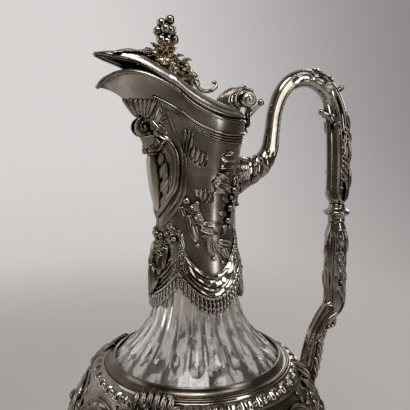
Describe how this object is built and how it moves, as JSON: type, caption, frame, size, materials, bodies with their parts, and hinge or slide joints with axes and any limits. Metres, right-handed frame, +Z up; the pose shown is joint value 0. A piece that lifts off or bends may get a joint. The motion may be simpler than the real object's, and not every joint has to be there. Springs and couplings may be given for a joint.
{
  "type": "claret jug",
  "caption": "Footed wine carafe: cut-glass neck, chased silver casing and spout, scroll handle, and a lid that opens on a hinge behind the rim.",
  "frame": {"origin": "middle of the foot's flat underside, on the jug's upright axis", "axes": "+Z up along the jug's axis, -X toward the spout, +X toward the handle and the lid's hinge"},
  "size_m": [0.1685, 0.1444, 0.3027],
  "materials": {
    "silver": "polished, with dark oxide in the recesses",
    "worn_silver": "polished, with traces of old gilding",
    "crystal": "clear cut glass"
  },
  "bodies": {
    "vessel": {"glass_vessel": "crystal", "body_casing": "silver", "shoulder_ring": "silver", "bead_and_reel_band": "silver", "neck_sleeve": "silver", "spout_rim_wire": "silver", "reeded_band": "silver", "cartouche_frame": "worn_silver", "cartouche_panel": "worn_silver", "crest_volute": "worn_silver", "crest_shell": "worn_silver", "spout_fan": "worn_silver", "cartouche_pendant": "worn_silver", "drapery_leaf": "worn_silver", "husk_string_left": "silver", "husk_string_right": "silver", "flank_acanthus_left": "silver", "flank_acanthus_right": "silver", "cartouche_leaf_left": "worn_silver", "cartouche_leaf_right": "worn_silver", "drapery_swags": "silver", "bullion_fringe": "silver", "upper_ribbon_left": "silver", "upper_ribbon_right": "silver", "lower_ribbon_left": "silver", "lower_ribbon_right": "silver", "laurel_spray_left": "silver", "laurel_spray_right": "silver", "front_volute_left": "silver", "front_volute_right": "silver", "side_volute_left": "silver", "side_volute_right": "silver", "acanthus_left": "silver", "acanthus_right": "silver", "rear_acanthus_left": "silver", "rear_acanthus_right": "silver", "stem_cup": "silver", "stem_knop": "silver", "foot_dome": "silver", "foot_base_plate": "silver", "handle_root_leaf": "worn_silver", "handle_upper_arm": "silver", "handle_knop": "silver", "handle_lower_arm": "silver", "handle_foot_leaf": "silver", "hinge_bracket": "silver", "hinge_pin": "silver"},
    "lid": {"lid_shell": "silver", "lid_hinge_knuckle": "silver", "thumb_scroll": "silver", "vine_leaf_spray": "worn_silver", "grape_finial": "silver", "vine_tendril": "silver", "finial_nut": "silver"}
  },
  "joints": [
    {"name": "lid_hinge", "type": "hinge", "parent": "vessel", "child": "lid", "pos_m": [0.0255, 0, 0.2626], "axis": [0, 1, 0], "range_deg": [0, 75]}
  ]
}
